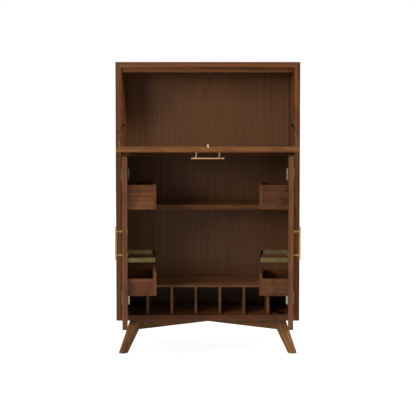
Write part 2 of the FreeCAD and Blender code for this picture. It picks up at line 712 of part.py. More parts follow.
def stays():
    """Wall plates, lid brackets and the two links of each folding stay."""
    plates, brackets = [], []
    tilt = ("1; 0; 0", "stay_slope")
    back = ("1; 0; 0", "stay_slope + 180 deg")
    for hand, sign in SIDES.items():
        plate = new_body(frame_at("0", "stay_wall_y", "stay_wall_z"))
        low, thick = outward(sign, "wall_plate_in", "inner_half")
        corner = (low, "-stay_wall_plate_width / 2", "-stay_wall_plate_height / 2")
        block(plate, corner, (thick, "stay_wall_plate_width", "stay_wall_plate_height"))
        pivot_along(plate, sign, "lid_link_out", "wall_plate_in", "stay_pin_radius")
        pivot_along(plate, sign, "lid_link_out - stay_head_height", "lid_link_out", "stay_head_radius")
        plates.append(plate)
        pivot = ("stay_wall_y", "stay_wall_z") + tilt
        heads = ("wall_link_out", "wall_link_out + stay_head_height")
        stay_link(hand + "_stay_wall_link", sign, pivot, "wall_link_in", "wall_link_out", heads)
        pivot = ("stay_lid_y", "stay_lid_z") + back
        heads = ("lid_link_in - stay_head_height", "lid_link_in")
        stay_link(hand + "_stay_lid_link", sign, pivot, "lid_link_in", "lid_link_out", heads)
        bracket = new_body(frame_at("0", "stay_lid_y", "stay_lid_z"))
        low, thick = outward(sign, "bracket_in", "bracket_out")
        corner = (low, "-stay_link_width / 2", "-stay_lid_rise")
        block(bracket, corner, (thick, "stay_link_width", "stay_lid_rise"))
        pivot_along(bracket, sign, "bracket_in", "bracket_out", "stay_link_width / 2")
        low, thick = outward(sign, "bracket_out - stay_foot_width", "bracket_out")
        corner = (low, "-stay_foot_length / 2", "-stay_lid_rise")
        block(bracket, corner, (thick, "stay_foot_length", "stay_plate_thick"))
        pivot_along(bracket, sign, "bracket_out", "wall_link_in", "stay_pin_radius")
        pivot_along(bracket, sign, "wall_link_in", "wall_link_in + stay_head_height", "stay_head_radius")
        brackets.append(bracket)
    group("stay_wall_plates", plates)
    group("stay_lid_brackets", brackets)


# Doors


def door(hand):
    """Door panel with its hinge leaves, handle, strike, bins and bottle rail, in the hinge's frame."""
    side = SIDES[hand]
    inward = -side
    turn = "%d * door_open" % side
    frame = frame_at("%d * door_axis_x" % side, "door_axis_y", "0", "0; 0; 1", turn)
    panel = new_body(frame)
    low, width = outward(inward, "door_edge", "door_free")
    block(panel, (low, "door_face", "door_low"), (width, "door_thick", "door_high - door_low"))
    handle_x = "%d * door_handle_x" % inward
    levels = ["door_middle + %d * post_spacing / 2" % sign for sign in SIDES.values()]
    screw_holes(panel, "y", [(handle_x, "door_face", level) for level in levels], "door_thick")
    node(panel, hand + "_door_panel")
    upended = frame_at(handle_x, "door_face", "door_middle", "1; 1; 1", "240")
    pull(hand + "_door", "%s * %s" % (frame, upended), "door_thick")
    door_leaves(hand, frame, inward)
    door_strike(hand, frame, inward)
    door_bins(hand, frame, inward)
    bottle_rail(hand, frame, inward)


def door_leaves(hand, frame, inward):
    """Leaves round the door's hinged edge: a plate on the edge, a wing on the inner face, a knuckle."""
    leaves = []
    plate_low = outward(inward, "leaf_inner", "door_edge")[0]
    wing_low = outward(inward, "door_edge", "door_edge + wing_width")[0]
    for low in door_hinge_levels():
        _outer, middle = knuckle_spans(low, "door_hinge_height")
        leaf = new_body(frame)
        plate = ("door_leaf_thick", "door_thick + wing_thick", "door_hinge_height")
        block(leaf, (plate_low, "door_face", low), plate)
        block(leaf, (wing_low, "door_back", low), ("wing_width", "wing_thick", "door_hinge_height"))
        door_knuckles(leaf, middle, plate_low)
        leaves.append(leaf)
    group(hand + "_door_hinge_leaves", leaves)


def door_strike(hand, frame, inward):
    """Thin plate that the door's catch holds."""
    middle = "door_axis_x - catch_place"
    low, width = outward(inward, middle + " - door_strike_width / 2", middle + " + door_strike_width / 2")
    strike = board((low, "door_back", "catch_low"), (width, "door_strike_thick", "catch_height"), frame)
    return node(strike, hand + "_door_strike")


def door_bins(hand, frame, inward):
    """Two open-topped bins of plain boards that stand off the door's inner face."""
    bottoms = []
    bins = (
        ("upper", "upper_bin_low", "upper_bin_height", "upper_bin_height"),
        ("lower", "lower_bin_low", "lower_bin_height", "lower_bin_end_height"),
    )
    depth = "bin_front - door_back"
    for name, level, front_height, end_height in bins:
        prefix = "%s_%s_bin_" % (hand, name)
        low, length = outward(inward, "bin_near", "bin_far")
        front = board((low, "bin_front", level), (length, "bin_board", front_height), frame)
        node(front, prefix + "front")
        ends = []
        for near, far in (("bin_near", "bin_near + bin_board"), ("bin_far - bin_board", "bin_far")):
            low, length = outward(inward, near, far)
            ends.append(board((low, "door_back", level), (length, depth, end_height), frame))
        group(prefix + "ends", ends)
        low, length = outward(inward, "bin_near + bin_board", "bin_far - bin_board")
        bottoms.append(board((low, "door_back", level), (length, depth, "bin_floor"), frame))
    group(hand + "_bin_bottoms", bottoms)


def bottle_rail(hand, frame, inward):
    """Flat band bent round the bottles, with its ends turned in against the door."""
    low, length = outward(inward, "bin_near", "bin_far")
    size = (length, "bin_depth", "rail_height")
    outside = rounded_block(frame, (low, "door_back", "rail_low"), size, "rail_corner")
    over = "rail_low - rail_thick"
    tall = "rail_height + 2 * rail_thick"
    low, length = outward(inward, "bin_near + rail_thick", "bin_far - rail_thick")
    size = (length, "bin_depth - 2 * rail_thick", tall)
    inside = rounded_block(frame, (low, "door_back + rail_thick", over), size, "rail_corner - rail_thick")
    low, length = outward(inward, "bin_near + rail_flange", "bin_far - rail_flange")
    mouth = board((low, "door_back - rail_thick", over), (length, "3 * rail_thick", tall), frame)
    opening = DOC.addObject("Part::MultiFuse", "RailOpening")
    opening.Shapes = [inside, mouth]
    band = DOC.addObject("Part::Cut", "Rail")
    band.Base = outside
    band.Tool = opening
    return node(band, hand + "_bottle_rail")


def rounded_block(frame, corner, size, radius):
    """Box with its two upright edges farthest from the door rounded."""
    body = new_body(frame)
    box = block(body, corner, size)
    DOC.recompute()
    farthest = box.Shape.BoundBox.YMax
    names = []
    for number, edge in enumerate(box.Shape.Edges, start=1):
        start, end = [vertex.Point for vertex in edge.Vertexes]
        upright = abs(start.z - end.z) > (start - end).Length / 2
        if upright and farthest - start.y < edge.Length / 2:
            names.append("Edge%d" % number)
    fillet = body.newObject("PartDesign::Fillet", "Corners")
    fillet.Base = (box, names)
    bind(fillet, "Radius", radius)
    return body


def door_catches():
    """Magnetic catches under the deck rail, one for each door."""
    catches = []
    for sign in SIDES.values():
        low, width = outward(sign, "catch_place - catch_width / 2", "catch_place + catch_width / 2")
        catches.append(board((low, "catch_front", "catch_low"), (width, "catch_depth", "catch_height")))
    return group("door_catches", catches)


def check_document():
    """Stop if an object failed, a cut removed nothing or a sub-part has no sound shape."""
    for item in DOC.Objects:
        if "Invalid" in item.State or "Error" in item.State:
            raise RuntimeError("%s failed: %s" % (item.Name, item.State))
        if item.TypeId.startswith("PartDesign::Subtractive"):
            if item.BaseFeature.Shape.Volume - item.Shape.Volume < 0.1:
                raise RuntimeError("%s cuts nothing" % item.Name)
    for item in NODES:
        if item.Shape.isNull() or not item.Shape.isValid() or not item.Shape.Solids:
            raise RuntimeError("%s has no sound shape" % item.Label)


def write_parts():
    """Write one file per sub-part."""
    os.makedirs("parts", exist_ok=True)
    for item in NODES:
        item.Shape.exportStep("parts/%s.step" % item.Label)
    print("%d sub-parts" % len(NODES))


for side_name in SIDES:
    side_panel(side_name)
top_panel()
bottom_panel()
back_panel()
fixed_boards()
mid_shelf()
wine_dividers()
for place in leg_places():
    leg(*place)
leg_hardware()
for end_side in ENDS:
    apron(end_side)
door_frame_hinges()
lid_hinges()
lid()
lid_catch()
stays()
for side_name in SIDES:
    door(side_name)
door_catches()
DOC.recompute()
check_document()
write_parts()
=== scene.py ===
"""Looks of a walnut bar cabinet with a drop-front lid, two bottle doors and splayed legs.

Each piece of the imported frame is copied, eased along its edges and given its finish. The screws of the
hinges, stays, catches and bottle rails, the covers of the door hinges and the caps of the stays' pivots
are added. The cabinet stands open on a white floor in soft studio light.
"""

import json
import logging
import math
from dataclasses import dataclass, field
from enum import Enum
from typing import ClassVar, Iterable, Sequence, Union

import bmesh
import bpy
from mathutils import Matrix, Vector


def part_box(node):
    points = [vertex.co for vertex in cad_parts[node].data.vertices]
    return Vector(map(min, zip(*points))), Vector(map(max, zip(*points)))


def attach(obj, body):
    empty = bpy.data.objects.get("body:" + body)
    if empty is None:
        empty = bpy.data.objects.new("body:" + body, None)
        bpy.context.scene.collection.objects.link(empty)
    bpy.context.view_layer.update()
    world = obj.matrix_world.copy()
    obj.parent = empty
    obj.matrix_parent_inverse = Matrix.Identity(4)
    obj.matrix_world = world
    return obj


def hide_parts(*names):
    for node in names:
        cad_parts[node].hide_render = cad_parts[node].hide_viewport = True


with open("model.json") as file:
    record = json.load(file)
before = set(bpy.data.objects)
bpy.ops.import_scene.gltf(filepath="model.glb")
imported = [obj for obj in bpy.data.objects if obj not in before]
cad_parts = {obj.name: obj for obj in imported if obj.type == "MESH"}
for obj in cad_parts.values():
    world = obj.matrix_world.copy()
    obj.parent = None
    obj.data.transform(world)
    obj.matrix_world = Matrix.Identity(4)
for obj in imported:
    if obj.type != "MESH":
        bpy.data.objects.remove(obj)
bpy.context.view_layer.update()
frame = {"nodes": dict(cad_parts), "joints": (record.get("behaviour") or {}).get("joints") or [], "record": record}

LOG = logging.getLogger("bar_cabinet")
EASE_LAYER = "ease"
MM = 0.001
ACROSS = Vector((1.0, 0.0, 0.0))
DEPTH = Vector((0.0, 1.0, 0.0))
UP = Vector((0.0, 0.0, 1.0))
WHITE = (1.0, 1.0, 1.0, 1.0)
Colour = tuple[float, float, float, float]
Span = tuple[float, float]
Socket = bpy.types.NodeSocket
Feed = Union[Socket, float, Sequence[float]]


def seen(red: int, green: int, blue: int) -> Colour:
    """Turn a colour as the eye names it into a shader's linear colour.

    Args:
        red: Red from 0 to 255.
        green: Green from 0 to 255.
        blue: Blue from 0 to 255.

    Returns:
        The linear colour with full alpha.
    """
    values = []
    for part in (red, green, blue):
        share = part / 255.0
        values.append(share / 12.92 if share <= 0.04045 else ((share + 0.055) / 1.055) ** 2.4)
    return (values[0], values[1], values[2], 1.0)


# Shader trees


@dataclass(frozen=True)
class Grain:
    """Fineness of a noise: lumps per metre across and along the grain, and octaves of finer lumps."""

    across: float
    along: float
    detail: float


class Sheet:
    """A shader tree that is written node by node, each call giving the socket it puts out."""

    def __init__(self, tree: bpy.types.NodeTree) -> None:
        """Take the tree that the nodes go into."""
        self.tree = tree

    def feed(self, sockets: bpy.types.NodeInputs, feeds: dict) -> None:
        """Link some inputs to other sockets, or set their values.

        Args:
            sockets: Inputs of a node.
            feeds: Socket, number, colour or vector for each input, by the input's name or number.
        """
        for key, value in feeds.items():
            if isinstance(value, Socket):
                self.tree.links.new(value, sockets[key])
            else:
                sockets[key].default_value = value

    def add(self, kind: str, feeds: dict, **settings: object) -> bpy.types.NodeOutputs:
        """Add a node, set its options and fill its inputs.

        Args:
            kind: Blender's name of the node, without the leading ShaderNode.
            feeds: What goes into its inputs, by the input's name or number.
            settings: Options of the node.

        Returns:
            The node's outputs.
        """
        made = self.tree.nodes.new("ShaderNode" + kind)
        for key, value in settings.items():
            setattr(made, key, value)
        self.feed(made.inputs, feeds)
        return made.outputs

    def math(self, operation: str, first: Feed, second: Feed = 0.0) -> Socket:
        """Work out one number from one or two others by the named sum."""
        return self.add("Math", {0: first, 1: second}, operation=operation)[0]

    def scaled(self, value: Feed, factor: Feed, base: Feed) -> Socket:
        """Multiply a number by a factor and add a base."""
        return self.add("Math", {0: value, 1: factor, 2: base}, operation="MULTIPLY_ADD")[0]

    def vector_math(self, operation: str, first: Feed, second: Feed) -> Socket:
        """Work out one vector from two others by the named sum."""
        return self.add("VectorMath", {0: first, 1: second}, operation=operation)[0]

    def noise(self, vector: Feed, grain: Grain) -> bpy.types.NodeOutputs:
        """Add smooth noise.

        Args:
            vector: Where the noise is read, with the grain along Z.
            grain: Fineness of the noise.

        Returns:
            The noise as a number, then as a colour.
        """
        lumps = self.vector_math("MULTIPLY", vector, (grain.across, grain.across, grain.along))
        return self.add("TexNoise", {"Vector": lumps, "Scale": 1.0, "Detail": grain.detail})

    def span(self, value: Feed, given: Span, wanted: Span = (0.0, 1.0)) -> Socket:
        """Spread part of a range smoothly over another.

        Args:
            value: Number to spread.
            given: Values at the start and the end of the spread.
            wanted: Results at its start and its end.

        Returns:
            The socket of the spread value.
        """
        feeds = {0: value, 1: given[0], 2: given[1], 3: wanted[0], 4: wanted[1]}
        return self.add("MapRange", feeds, interpolation_type="SMOOTHSTEP")[0]

    def blend(self, share: Feed, first: Feed, second: Feed) -> Socket:
        """Mix two colours, with the given share of the second."""
        return self.add("Mix", {0: share, 6: first, 7: second}, data_type="RGBA")[2]

    def ramp(self, value: Feed, stops: Sequence[Span]) -> Socket:
        """Bend a value along a run of grey stops.

        Args:
            value: Number from 0 to 1.
            stops: Place and grey of each stop.

        Returns:
            The socket of the bent value.
        """
        bent = self.add("ValToRGB", {0: value})[0]
        elements = bent.node.color_ramp.elements
        while len(elements) < len(stops):
            elements.new(0.5)
        for element, (place, grey) in zip(elements, stops):
            element.position = place
            element.color = (grey, grey, grey, 1.0)
        return bent


class Surface(Sheet):
    """The tree of a material with one Principled shader."""

    def __init__(self, name: str) -> None:
        """Start the material.

        Args:
            name: Name of the material.
        """
        self.material = bpy.data.materials.new(name)
        self.material.use_nodes = True
        super().__init__(self.material.node_tree)
        self.shader = self.tree.nodes["Principled BSDF"].inputs


class Effect(Sheet):
    """The tree of a surface effect that finishes share as a node group, with its inputs as source."""

    NAME: str
    INPUTS: tuple[str, ...]
    KINDS = {"Vector": "Vector", "Color": "Color", "Dark": "Color", "Middle": "Color", "Light": "Color"}

    def __init__(self) -> None:
        """Start the group and draw it."""
        super().__init__(bpy.data.node_groups.new(self.NAME, "ShaderNodeTree"))
        self.add_sockets("INPUT", self.INPUTS)
        self.source = self.tree.nodes.new("NodeGroupInput").outputs
        drawn = self.draw()
        self.add_sockets("OUTPUT", drawn)
        self.feed(self.tree.nodes.new("NodeGroupOutput").inputs, drawn)

    def add_sockets(self, way: str, labels: Iterable[str]) -> None:
        """Give the group its inputs or its outputs.

        Args:
            way: INPUT or OUTPUT.
            labels: Name of each socket.
        """
        for label in labels:
            kind = "NodeSocket" + self.KINDS.get(label, "Float")
            self.tree.interface.new_socket(label, in_out=way, socket_type=kind)

    @classmethod
    def place(cls, surface: Surface, feeds: dict) -> bpy.types.NodeOutputs:
        """Place the group in a material, fill its inputs and give its outputs."""
        tree = bpy.data.node_groups.get(cls.NAME) or cls().tree
        return surface.add("Group", feeds, node_tree=tree)

    def draw(self) -> dict[str, Socket]:
        """Add the nodes of the group.

        Returns:
            The socket that feeds each output, by the output's name.
        """
        raise NotImplementedError


class WalnutFigure(Effect):
    """Growth rings about a leaning heart along Z, with clouds, streaks, fibres and pores."""

    NAME = "walnut_figure"
    INPUTS = ("Vector", "Ring spacing", "Ring depth", "Contrast", "Dark", "Middle", "Light")
    WANDER = Grain(5.0, 1.1, 2.0)
    WANDER_REACH = (0.07, 0.07, 0.0)
    HEART_LEAN = 0.11
    RUFFLE = Grain(60.0, 1.5, 3.0)
    RUFFLE_SHARE = 0.5
    RING_STOPS = ((0.0, 0.1), (0.55, 0.35), (0.88, 1.0), (1.0, 0.1))
    CLOUD = Grain(9.0, 0.7, 1.0)
    CLOUD_SHARE = 0.42
    STREAK = Grain(95.0, 0.8, 4.0)
    STREAK_SHARE = 0.5
    SOFT_SPAN = (0.25, 0.75)
    FIBRE = Grain(650.0, 9.0, 2.0)
    FIBRE_SHARE = 0.3
    FIBRE_HEIGHT = 0.35
    PORE = Grain(1500.0, 70.0, 1.0)
    PORE_SPAN = (0.6, 0.7)
    PORE_SHARE = 0.4
    PORE_DEPTH = 0.6
    MIDDLE_TONE = 0.5
    DARK_SPAN = (-0.1, 0.42)
    LIGHT_SPAN = (0.38, 0.95)
    ROUGHNESS = 0.24
    FIBRE_ROUGHNESS = 0.08
    PORE_ROUGHNESS = 0.12

    def draw(self) -> dict[str, Socket]:
        """Draw the wood.

        Returns:
            Its colour, roughness and height.
        """
        source = self.source
        fibre = self.noise(source["Vector"], self.FIBRE)[0]
        pore = self.span(self.noise(source["Vector"], self.PORE)[0], self.PORE_SPAN)
        tone = self.tone(fibre)
        low = self.blend(self.span(tone, self.DARK_SPAN), source["Dark"], source["Middle"])
        wood = self.blend(self.span(tone, self.LIGHT_SPAN), low, source["Light"])
        pored = self.math("MULTIPLY", pore, self.PORE_SHARE)
        rough = self.scaled(fibre, self.FIBRE_ROUGHNESS, self.ROUGHNESS)
        raised = self.math("MULTIPLY", fibre, self.FIBRE_HEIGHT)
        return {
            "Color": self.blend(pored, wood, source["Dark"]),
            "Roughness": self.scaled(pore, self.PORE_ROUGHNESS, rough),
            "Height": self.scaled(pore, -self.PORE_DEPTH, raised),
        }

    def tone(self, fibre: Socket) -> Socket:
        """Work out how light the wood is, without its pores.

        Args:
            fibre: Noise of the fibres.

        Returns:
            The socket of the tone, about 0 where it is dark and 1 where it is light.
        """
        place = self.source["Vector"]
        streak = self.span(self.noise(place, self.STREAK)[0], self.SOFT_SPAN)
        cloud = self.span(self.noise(place, self.CLOUD)[0], self.SOFT_SPAN)
        fibred = self.math("MULTIPLY", fibre, self.FIBRE_SHARE)
        clouded = self.scaled(cloud, self.CLOUD_SHARE, fibred)
        lit = self.scaled(streak, self.STREAK_SHARE, clouded)
        ringed = self.math("MULTIPLY", self.ring(), self.source["Ring depth"])
        uneven = self.math("SUBTRACT", self.math("SUBTRACT", lit, ringed), self.MIDDLE_TONE)
        return self.scaled(uneven, self.source["Contrast"], self.MIDDLE_TONE)

    def ring(self) -> Socket:
        """Draw the growth rings.

        Returns:
            The socket of a value that rises through each year's growth.
        """
        place = self.source["Vector"]
        centred = self.vector_math("SUBTRACT", self.noise(place, self.WANDER)[1], (0.5, 0.5, 0.5))
        strayed = self.vector_math("MULTIPLY", centred, self.WANDER_REACH)
        parts = self.add("SeparateXYZ", {0: self.vector_math("ADD", place, strayed)})
        behind = self.scaled(parts[2], self.HEART_LEAN, parts[1])
        square = self.scaled(parts[0], parts[0], self.math("MULTIPLY", behind, behind))
        years = self.math("DIVIDE", self.math("SQRT", square), self.source["Ring spacing"])
        ruffle = self.noise(place, self.RUFFLE)[0]
        phase = self.math("FRACT", self.scaled(ruffle, self.RUFFLE_SHARE, years))
        return self.ramp(phase, self.RING_STOPS)


class EdgeWear(Effect):
    """Rub along eased edges, broken up by noise."""

    NAME = "edge_wear"
    INPUTS = ("Vector", "Amount")
    PATCH = Grain(28.0, 28.0, 4.0)
    PATCH_SPAN = (0.38, 0.66)

    def draw(self) -> dict[str, Socket]:
        """Draw the rub.

        Returns:
            Its mask.
        """
        eased = self.add("Attribute", {}, attribute_name=EASE_LAYER)["Fac"]
        patch = self.span(self.noise(self.source["Vector"], self.PATCH)[0], self.PATCH_SPAN)
        broken = self.math("MULTIPLY", eased, patch)
        return {"Mask": self.math("MULTIPLY", broken, self.source["Amount"])}


class MetalBrushing(Effect):
    """Fine brush lines along a metal piece, with soft blotches of tarnish."""

    NAME = "metal_brushing"
    INPUTS = ("Vector", "Roughness", "Spread")
    LINE = Grain(2600.0, 45.0, 2.0)
    LINE_SHARE = 0.7
    BLOTCH = Grain(38.0, 38.0, 2.0)
    BLOTCH_SHARE = 0.5
    TARNISH_SPAN = (0.3, 0.8)

    def draw(self) -> dict[str, Socket]:
        """Draw the metal.

        Returns:
            Its tarnish, roughness and height.
        """
        line = self.noise(self.source["Vector"], self.LINE)[0]
        blotch = self.noise(self.source["Vector"], self.BLOTCH)[0]
        blotched = self.math("MULTIPLY", blotch, self.BLOTCH_SHARE)
        uneven = self.scaled(line, self.LINE_SHARE, blotched)
        return {
            "Tarnish": self.span(blotch, self.TARNISH_SPAN),
            "Roughness": self.scaled(uneven, self.source["Spread"], self.source["Roughness"]),
            "Height": line,
        }


# Finishes


class Coat(Surface):
    """The tree of a piece's material, with the place of its pattern and the mask of its rubbed edges."""

    def __init__(self, name: str, direction: Vector, shift: Sequence[float], wear: float) -> None:
        """Start the material.

        Args:
            name: Name of the material.
            direction: Way that the grain or brushing runs, which becomes the pattern's Z.
            shift: Shift of the pattern, in metres.
            wear: Strength of the rub.
        """
        super().__init__(name)
        turn = direction.normalized().rotation_difference(UP).to_euler()
        own = self.add("TexCoord", {})["Object"]
        feeds = {"Vector": own, "Location": shift, "Rotation": turn}
        self.place = self.add("Mapping", feeds, vector_type="POINT")[0]
        self.rub = EdgeWear.place(self, {"Vector": self.place, "Amount": wear})["Mask"]


@dataclass(frozen=True)
class Finish:
    """What all finishes share: a name, a pattern of its own for each piece, and a fine relief."""

    name: str
    heart: Sequence[float] = field(default=(), kw_only=True)
    wear: ClassVar[float]
    bump: ClassVar[float]
    bump_height: ClassVar[float]

    def material(self, piece: str, direction: Vector, shift: Sequence[float]) -> bpy.types.Material:
        """Make the material of one piece.

        Args:
            piece: Name of the piece.
            direction: Way that its grain or brushing runs.
            shift: Shift of its pattern in metres, for a finish that has no heart of its own.

        Returns:
            The material.
        """
        coat = Coat("%s_%s" % (self.name, piece), direction, self.heart or shift, self.wear)
        feeds = {"Strength": self.bump, "Distance": self.bump_height, "Height": self.paint(coat)}
        coat.feed(coat.shader, {"Normal": coat.add("Bump", feeds)[0]})
        return coat.material

    def paint(self, coat: Coat) -> Socket:
        """Feed the shader's colour and gloss.

        Args:
            coat: Material in the making.

        Returns:
            The socket of the relief's height.
        """
        raise NotImplementedError


@dataclass(frozen=True)
class Walnut(Finish):
    """Satin-lacquered walnut of one tone."""

    dark: Colour
    middle: Colour
    light: Colour
    ring_spacing: float = 0.024
    ring_depth: float = 0.3
    contrast: float = 1.0
    gloss: float = 0.1
    open_grain: float = 0.7
    wear: ClassVar[float] = 0.35
    bump: ClassVar[float] = 0.25
    bump_height: ClassVar[float] = 0.3 * MM

    def paint(self, coat: Coat) -> Socket:
        """Feed the shader with the figure of the wood, lighter on the rubbed edges.

        Args:
            coat: Material in the making.

        Returns:
            The socket of the grain's height.
        """
        figure = WalnutFigure.place(coat, {
            "Vector": coat.place,
            "Ring spacing": self.ring_spacing,
            "Ring depth": self.ring_depth,
            "Contrast": self.contrast,
            "Dark": self.dark,
            "Middle": self.middle,
            "Light": self.light,
        })
        coat.feed(coat.shader, {
            "Base Color": coat.blend(coat.rub, figure["Color"], self.light),
            "Roughness": figure["Roughness"],
            "Diffuse Roughness": self.open_grain,
            "Specular IOR Level": self.gloss,
        })
        return figure["Height"]


@dataclass(frozen=True)
class Metal(Finish):
    """Brushed or plated metal."""

    clean: Colour
    tarnished: Colour
    roughness: float = 0.28
    spread: float = 0.16
    wear: ClassVar[float] = 0.5
    bump: ClassVar[float] = 0.12
    bump_height: ClassVar[float] = 0.1 * MM

    def paint(self, coat: Coat) -> Socket:
        """Feed the shader with the brushed metal, clean on the rubbed edges.

        Args:
            coat: Material in the making.

        Returns:
            The socket of the lines' height.
        """
        feeds = {"Vector": coat.place, "Roughness": self.roughness, "Spread": self.spread}
        brushing = MetalBrushing.place(coat, feeds)
        dulled = coat.blend(brushing["Tarnish"], self.clean, self.tarnished)
        coat.feed(coat.shader, {
            "Base Color": coat.blend(coat.rub, dulled, self.clean),
            "Roughness": brushing["Roughness"],
            "Metallic": 1.0,
        })
        return brushing["Height"]


@dataclass(frozen=True)
class Moulded(Finish):
    """Moulded plastic with a fine grain and a slight haze."""

    body: Colour
    scuffed: Colour
    grain: Grain = Grain(1800.0, 1800.0, 1.0)
    haze: Grain = Grain(60.0, 60.0, 3.0)
    scuff_span: Span = (0.55, 0.9)
    scuff_shares: Span = (0.0, 0.35)
    rough_span: Span = (0.2, 0.8)
    roughness: Span = (0.42, 0.6)
    gloss: float = 0.2
    wear: ClassVar[float] = 0.6
    bump: ClassVar[float] = 0.2
    bump_height: ClassVar[float] = 0.2 * MM

    def paint(self, coat: Coat) -> Socket:
        """Feed the shader with the hazed plastic, scuffed on the rubbed edges.

        Args:
            coat: Material in the making.

        Returns:
            The socket of the grain's height.
        """
        haze = coat.noise(coat.place, self.haze)[0]
        scuff = coat.math("MAXIMUM", coat.rub, coat.span(haze, self.scuff_span, self.scuff_shares))
        coat.feed(coat.shader, {
            "Base Color": coat.blend(scuff, self.body, self.scuffed),
            "Roughness": coat.span(haze, self.rough_span, self.roughness),
            "Specular IOR Level": self.gloss,
        })
        return coat.noise(coat.place, self.grain)[0]


class Slot(Enum):
    """Finishes of the pieces, each named after its material slot in the record."""

    CARCASS = Walnut("carcass_walnut", seen(60, 33, 19), seen(109, 66, 37), seen(136, 89, 53))
    # Painted light: the same carcass walnut as CARCASS, lightened to stand for light falling on the cubby shelf
    # and wine dividers.
    RACK = Walnut("carcass_walnut", seen(70, 42, 25), seen(123, 79, 48), seen(151, 104, 67))
    BACK = Walnut(
        "back_veneer", seen(103, 67, 44), seen(146, 100, 66), seen(170, 121, 82),
        ring_spacing=0.03, ring_depth=0.5, contrast=0.46, heart=(-0.05, -0.21, 0.0),
    )
    LEG = Walnut(
        "leg_walnut", seen(80, 50, 29), seen(132, 88, 53), seen(164, 116, 73),
        ring_spacing=0.014, open_grain=0.1,
    )
    LID = Walnut("lid_walnut", seen(68, 39, 22), seen(117, 74, 42), seen(144, 98, 58))
    DOOR = Walnut("door_walnut", seen(66, 38, 22), seen(111, 71, 42), seen(138, 94, 57))
    BIN = Walnut("bin_walnut", seen(62, 34, 20), seen(104, 62, 36), seen(128, 83, 49), ring_spacing=0.012)
    HANDLE = Metal("handle_brass", seen(196, 156, 110), seen(166, 128, 86), roughness=0.42)
    RAIL = Metal("rail_brass", seen(106, 92, 60), seen(84, 72, 47), roughness=0.34)
    HINGE = Metal("hinge_nickel", seen(226, 212, 184), seen(198, 182, 152), roughness=0.42)
    # Painted shade: the same hinge nickel as HINGE, darkened to stand for shade on the hinge leaves, pins and door
    # strikes.
    HINGE_AGED = Metal("hinge_nickel", seen(110, 97, 80), seen(82, 70, 57), roughness=0.38)
    STAY = Metal("stay_steel", seen(142, 119, 98), seen(114, 94, 77), roughness=0.4)
    SCREW = Metal("screw_steel", seen(190, 184, 174), seen(150, 144, 134), roughness=0.28)
    SCREW_MATT = Metal("screw_steel", seen(226, 182, 134), seen(196, 154, 110), roughness=0.6)
    PLASTIC = Moulded("black_plastic", seen(18, 17, 16), seen(40, 38, 36))
    CATCH = Moulded("black_plastic", seen(36, 28, 22), seen(60, 48, 40))


# Workpieces


BODY_OF_NODE = {
    node: body for body, nodes in frame["record"]["behaviour"]["bodies"].items() for node in nodes
}


@dataclass(frozen=True)
class Ease:
    """A rounding: its width, its strips, and the length under which an edge is left sharp."""

    width: float
    strips: int = 2
    shortest: float = 0.0


def stand(name: str, data: bpy.types.ID) -> bpy.types.Object:
    """Put a new object into the scene.

    Args:
        name: Name of the object.
        data: Its mesh, light or camera.

    Returns:
        The object.
    """
    made = bpy.data.objects.new(name, data)
    bpy.context.scene.collection.objects.link(made)
    return made


